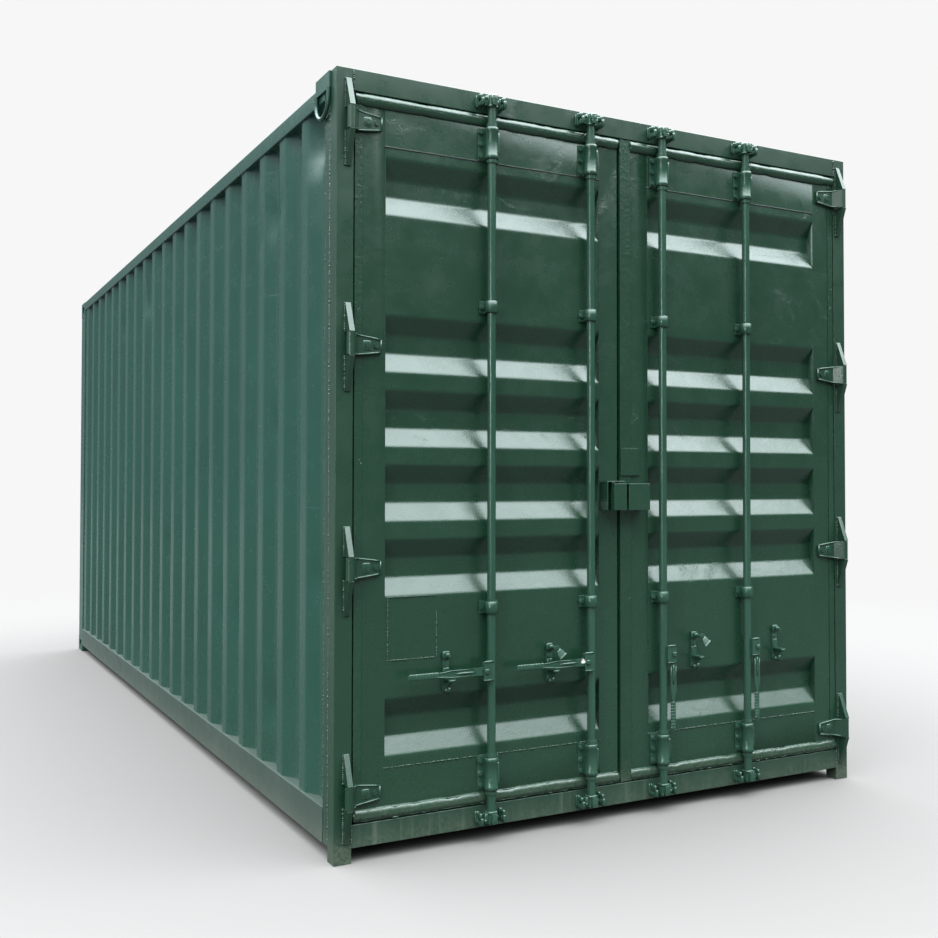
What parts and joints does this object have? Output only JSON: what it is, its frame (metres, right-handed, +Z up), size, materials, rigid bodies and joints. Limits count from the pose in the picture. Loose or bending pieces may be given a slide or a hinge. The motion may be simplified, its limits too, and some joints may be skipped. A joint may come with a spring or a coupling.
{
  "type": "shipping container",
  "caption": "Used dark green steel shipping container with corrugated sides, two hinged end doors, lock rods with swinging handles, and lifting eyes.",
  "frame": {"origin": "centre of the footprint, on the ground", "axes": "+Z up, -Y out of the doors, +X to the right when facing the doors"},
  "size_m": [2.47, 6.1256, 2.815],
  "materials": {
    "green_paint": "worn satin enamel over primer, chips, rust and runs",
    "door_seal": "painted-over seal, torn in places",
    "worn_steel": "painted forged steel, rubbed bare at the edges",
    "floor_wood": "oiled plywood, scuffed"
  },
  "bodies": {
    "box": {"front_posts": "green_paint", "door_header": "green_paint", "door_sill": "green_paint", "door_stops": "green_paint", "header_beam": "green_paint", "sill_beam": "green_paint", "rear_castings": "green_paint", "rear_posts": "green_paint", "rear_rails": "green_paint", "top_rails": "green_paint", "bottom_rails": "green_paint", "side_wall_left": "green_paint", "side_wall_right": "green_paint", "end_wall": "green_paint", "roof_panel": "green_paint", "floor_boards": "floor_wood", "cross_members": "green_paint", "hinge_lugs": "green_paint", "cam_keepers": "green_paint", "lifting_eyes": "green_paint"},
    "left_door": {"left_door_frame": "green_paint", "left_door_panel": "green_paint", "left_door_seal": "door_seal", "left_hinge_blades": "green_paint", "left_rod_brackets": "worn_steel", "left_handle_retainers": "worn_steel", "left_lock_box": "green_paint"},
    "right_door": {"right_door_frame": "green_paint", "right_door_panel": "green_paint", "right_door_seal": "door_seal", "right_hinge_blades": "green_paint", "right_rod_brackets": "worn_steel", "right_handle_retainers": "worn_steel", "right_lock_box": "green_paint", "cover_plate": "green_paint"},
    "left_inner_rod_body": {"left_inner_rod": "worn_steel"},
    "left_inner_handle_body": {"left_inner_handle": "worn_steel"},
    "left_outer_rod_body": {"left_outer_rod": "worn_steel"},
    "left_outer_handle_body": {"left_outer_handle": "worn_steel"},
    "left_catch_body": {"left_catch": "worn_steel"},
    "right_inner_rod_body": {"right_inner_rod": "worn_steel"},
    "right_inner_handle_body": {"right_inner_handle": "worn_steel"},
    "right_outer_rod_body": {"right_outer_rod": "worn_steel"},
    "right_outer_handle_body": {"right_outer_handle": "worn_steel"},
    "right_catch_body": {"right_catch": "worn_steel"}
  },
  "joints": [
    {"name": "left_door_hinge", "type": "hinge", "parent": "box", "child": "left_door", "pos_m": [-1.175, -3.03025, 1.4355], "axis": [0, 0, -1], "range_deg": [0, 240]},
    {"name": "right_door_hinge", "type": "hinge", "parent": "box", "child": "right_door", "pos_m": [1.175, -3.03025, 1.4355], "axis": [0, 0, 1], "range_deg": [0, 240]},
    {"name": "left_inner_rod_turn", "type": "hinge", "parent": "left_door", "child": "left_inner_rod_body", "pos_m": [-0.174, -3.02325, 1.4355], "axis": [0, 0, -1], "range_deg": [-90, 0]},
    {"name": "left_inner_handle_lift", "type": "hinge", "parent": "left_inner_rod_body", "child": "left_inner_handle_body", "pos_m": [-0.208, -3.04325, 0.6405], "axis": [0, 1, 0], "range_deg": [0, 14]},
    {"name": "left_outer_rod_turn", "type": "hinge", "parent": "left_door", "child": "left_outer_rod_body", "pos_m": [-0.615, -3.02325, 1.4355], "axis": [0, 0, -1], "range_deg": [-90, 0]},
    {"name": "left_outer_handle_lift", "type": "hinge", "parent": "left_outer_rod_body", "child": "left_outer_handle_body", "pos_m": [-0.649, -3.04325, 0.6405], "axis": [0, 1, 0], "range_deg": [0, 35]},
    {"name": "left_catch_swing", "type": "hinge", "parent": "left_door", "child": "left_catch_body", "pos_m": [-0.349, -3.05625, 0.7045], "axis": [0, -1, 0], "range_deg": [0, 100]},
    {"name": "right_inner_rod_turn", "type": "hinge", "parent": "right_door", "child": "right_inner_rod_body", "pos_m": [0.174, -3.02325, 1.4355], "axis": [0, 0, 1], "range_deg": [-90, 0]},
    {"name": "right_inner_handle_lift", "type": "hinge", "parent": "right_inner_rod_body", "child": "right_inner_handle_body", "pos_m": [0.208, -3.04325, 0.6405], "axis": [0, -1, 0], "range_deg": [0, 65]},
    {"name": "right_outer_rod_turn", "type": "hinge", "parent": "right_door", "child": "right_outer_rod_body", "pos_m": [0.615, -3.02325, 1.4355], "axis": [0, 0, 1], "range_deg": [-90, 0]},
    {"name": "right_outer_handle_lift", "type": "hinge", "parent": "right_outer_rod_body", "child": "right_outer_handle_body", "pos_m": [0.649, -3.04325, 0.6405], "axis": [0, -1, 0], "range_deg": [0, 65]},
    {"name": "right_catch_swing", "type": "hinge", "parent": "right_door", "child": "right_catch_body", "pos_m": [0.349, -3.05625, 0.7045], "axis": [0, -1, 0], "range_deg": [0, 100]}
  ]
}
